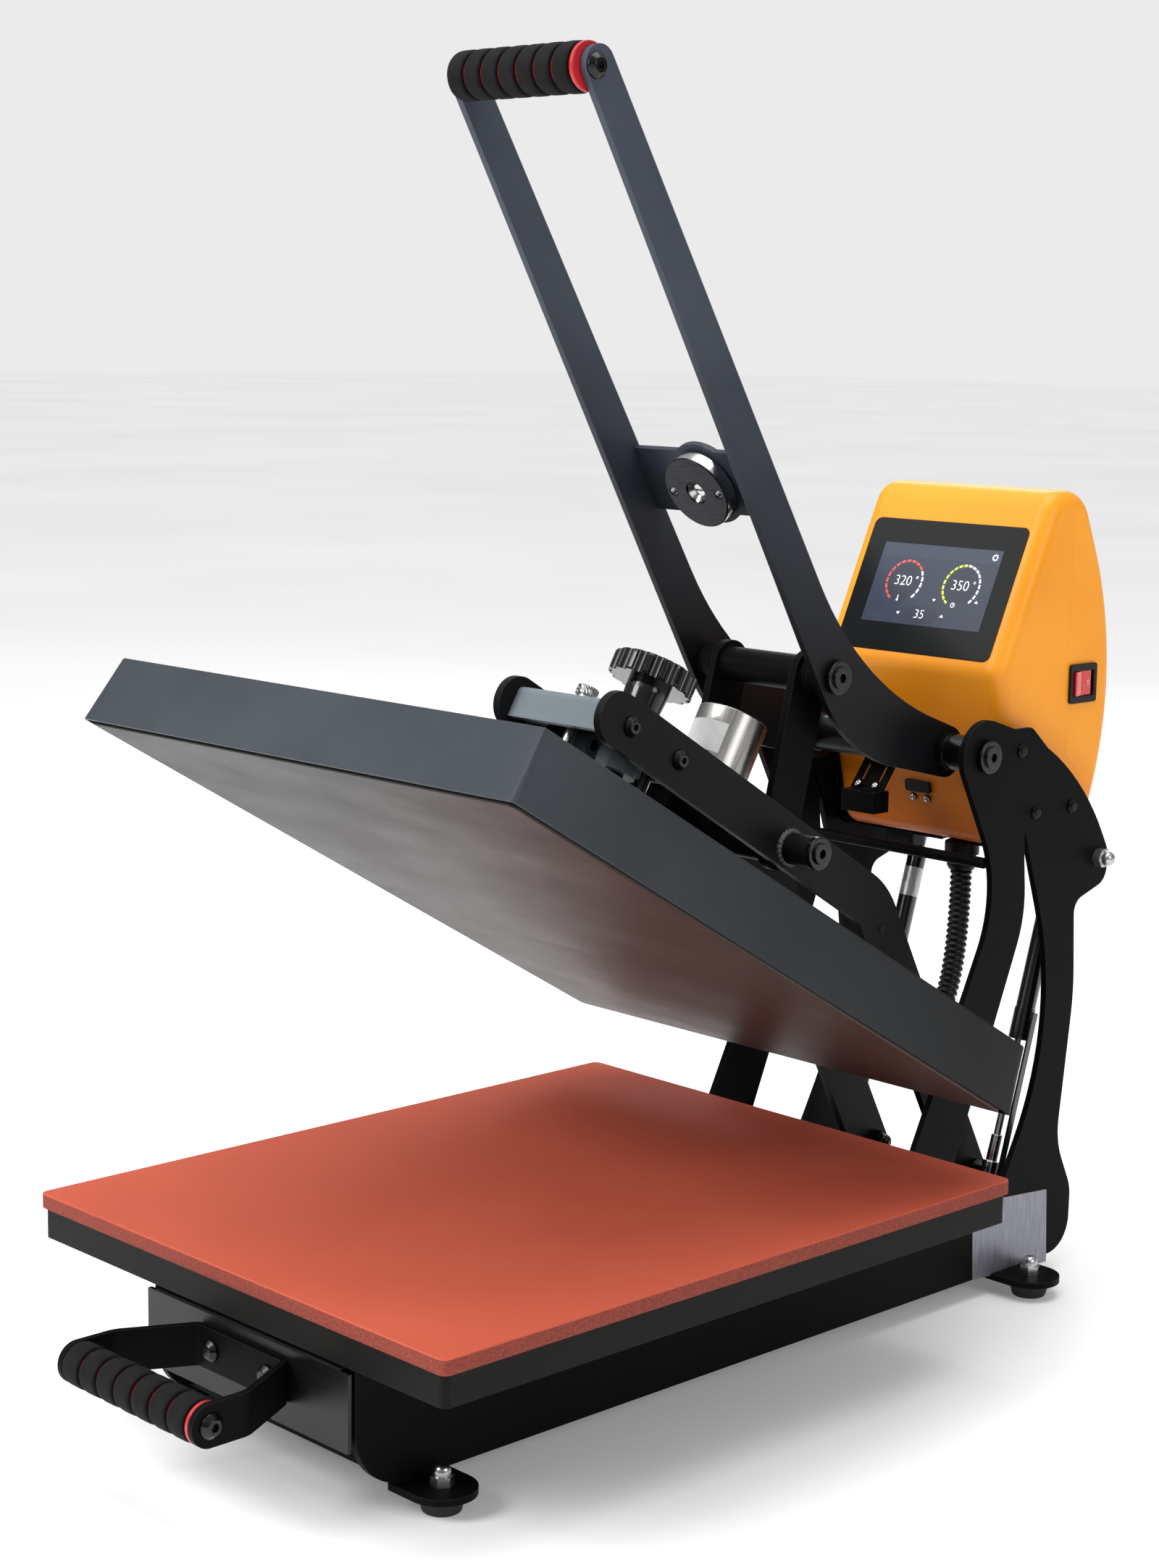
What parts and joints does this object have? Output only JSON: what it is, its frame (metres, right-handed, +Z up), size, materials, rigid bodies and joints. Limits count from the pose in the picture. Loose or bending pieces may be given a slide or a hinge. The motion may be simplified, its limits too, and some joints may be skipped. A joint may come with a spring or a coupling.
{
  "type": "heat press",
  "caption": "Clamshell heat press with slide-out lower platen, toggle lever, gas springs, hold-down magnet and touch-screen control box.",
  "frame": {"origin": "centre of the overall footprint on the table, under the feet", "axes": "+X to the operator's right, +Y rearwards to the control box, +Z up"},
  "size_m": [0.4166, 0.8381, 0.872],
  "materials": {
    "frame_black": "fine textured powder coat",
    "lever_black": "satin powder coat",
    "carriage_black": "matte powder coat",
    "face_grey": "brushed, dark",
    "tray_black": "matte black coat",
    "cover_grey": "satin blue-grey powder coat",
    "plate_aluminium": "coated, streaked",
    "insulation_white": "pressed fibre board",
    "silicone_red": "matte with rough cut edges",
    "box_amber": "satin moulding",
    "screen_black": "gloss",
    "display_navy": "lit panel",
    "board_green": "solder mask",
    "trim_black": "fine spark texture",
    "rocker_red": "gloss",
    "knob_black": "gloss",
    "zinc_steel": "zinc plated",
    "bright_chrome": "polished nickel and chrome",
    "cylinder_black": "gloss lacquer",
    "feet_black": "matte",
    "grip_black": "closed-cell foam",
    "grip_red": "satin"
  },
  "bodies": {
    "frame": {"side_plate_right": "frame_black", "side_plate_left": "frame_black", "base_floor": "frame_black", "cross_rod": "frame_black", "fixed_rails": "zinc_steel", "rubber_feet": "feet_black", "foot_bolts": "zinc_steel", "box_bracket": "frame_black", "box_front_shell": "box_amber", "box_rear_shell": "box_amber", "screen_glass": "screen_black", "display": "display_navy", "control_board": "board_green", "switch_body": "trim_black", "proximity_sensor": "trim_black", "cable_gland": "trim_black", "power_inlet": "trim_black", "handle_shaft": "zinc_steel", "hinge_shaft": "zinc_steel", "frame_fasteners": "zinc_steel", "conduit": "trim_black"},
    "drawer": {"drawer_carriage": "carriage_black", "drawer_face": "face_grey", "lower_platen": "tray_black", "silicone_pad": "silicone_red", "moving_rails": "zinc_steel", "drawer_strap": "frame_black", "drawer_grip_foam": "grip_black", "drawer_grip_sleeve": "grip_red", "drawer_bolts": "zinc_steel"},
    "platen_arm": {"arm_plate_right": "frame_black", "arm_plate_left": "frame_black", "front_channel": "frame_black", "magnet_bracket": "frame_black", "electromagnet": "bright_chrome", "hinge_tube": "frame_black", "link_shaft": "frame_black", "arm_fasteners": "zinc_steel"},
    "heat_platen": {"platen_cover": "cover_grey", "heat_plate": "plate_aluminium", "insulation_board": "insulation_white", "guide_rods": "bright_chrome", "spindle_seat": "zinc_steel", "platen_gland": "trim_black"},
    "pressure_screw": {"pressure_knob": "knob_black", "pressure_spindle": "zinc_steel"},
    "lever": {"handle_arm_right": "lever_black", "handle_arm_left": "lever_black", "handle_crosspieces": "lever_black", "strike_disc": "bright_chrome", "grip_foam": "grip_black", "grip_sleeve": "grip_red", "handle_bolts": "zinc_steel", "position_flag": "lever_black"},
    "toggle_links": {"toggle_links": "lever_black"},
    "spring_cylinder_left": {"spring_cylinder_left": "cylinder_black"},
    "spring_cylinder_right": {"spring_cylinder_right": "cylinder_black"},
    "spring_rod_left": {"spring_rod_left": "bright_chrome"},
    "spring_rod_right": {"spring_rod_right": "bright_chrome"},
    "power_rocker": {"power_rocker": "rocker_red"}
  },
  "joints": [
    {"name": "arm_fold", "type": "hinge", "parent": "frame", "child": "platen_arm", "pos_m": [0, 0.2465, 0.195], "axis": [1, 0, 0], "range_deg": [0, 30], "stiffness_Nm_per_rad": 60, "springref_deg": -114.59, "deforming": ["conduit"]},
    {"name": "lever_turn", "type": "hinge", "parent": "frame", "child": "lever", "pos_m": [0, 0.2485, 0.4035], "axis": [1, 0, 0], "range_deg": [0, 60.5]},
    {"name": "link_turn", "type": "hinge", "parent": "platen_arm", "child": "toggle_links", "pos_m": [0, 0.0985, 0.34846], "axis": [1, 0, 0], "range_deg": [-67.3, 0]},
    {"name": "platen_lift", "type": "slide", "parent": "platen_arm", "child": "heat_platen", "axis": [0, 0.5, 0.866], "range_m": [0, 0.008]},
    {"name": "pressure_turn", "type": "hinge", "parent": "heat_platen", "child": "pressure_screw", "pos_m": [0, -0.07688, 0.31289], "axis": [0, 0.5, 0.866], "range_deg": [0, 1440.5]},
    {"name": "drawer_slide", "type": "slide", "parent": "frame", "child": "drawer", "axis": [0, -1, 0], "range_m": [0, 0.3]},
    {"name": "switch_rock", "type": "hinge", "parent": "frame", "child": "power_rocker", "pos_m": [0.085, 0.3785, 0.4445], "axis": [0, 0, 1], "range_deg": [-16, 0]},
    {"name": "spring_swing_right", "type": "hinge", "parent": "frame", "child": "spring_cylinder_right", "pos_m": [0.0665, 0.3865, 0.3145], "axis": [1, 0, 0], "range_deg": [0, 10.5]},
    {"name": "spring_stroke_right", "type": "slide", "parent": "spring_cylinder_right", "child": "spring_rod_right", "axis": [0, 0.2912, 0.9567], "range_m": [0, 0.0595]},
    {"name": "spring_swing_left", "type": "hinge", "parent": "frame", "child": "spring_cylinder_left", "pos_m": [-0.0665, 0.3865, 0.3145], "axis": [1, 0, 0], "range_deg": [0, 10.5]},
    {"name": "spring_stroke_left", "type": "slide", "parent": "spring_cylinder_left", "child": "spring_rod_left", "axis": [0, 0.2912, 0.9567], "range_m": [0, 0.0595]}
  ],
  "couplings": [
    {"joint": "lever_turn", "follows": "arm_fold", "ratio": 2},
    {"joint": "link_turn", "follows": "arm_fold", "ratio": -2.227},
    {"joint": "pressure_turn", "follows": "platen_lift", "rad_per_m": 3141.6},
    {"joint": "spring_swing_right", "follows": "arm_fold", "ratio": 0.33434},
    {"joint": "spring_stroke_right", "follows": "arm_fold", "m_per_rad": 0.11274},
    {"joint": "spring_swing_left", "follows": "arm_fold", "ratio": 0.33434},
    {"joint": "spring_stroke_left", "follows": "arm_fold", "m_per_rad": 0.11274}
  ]
}
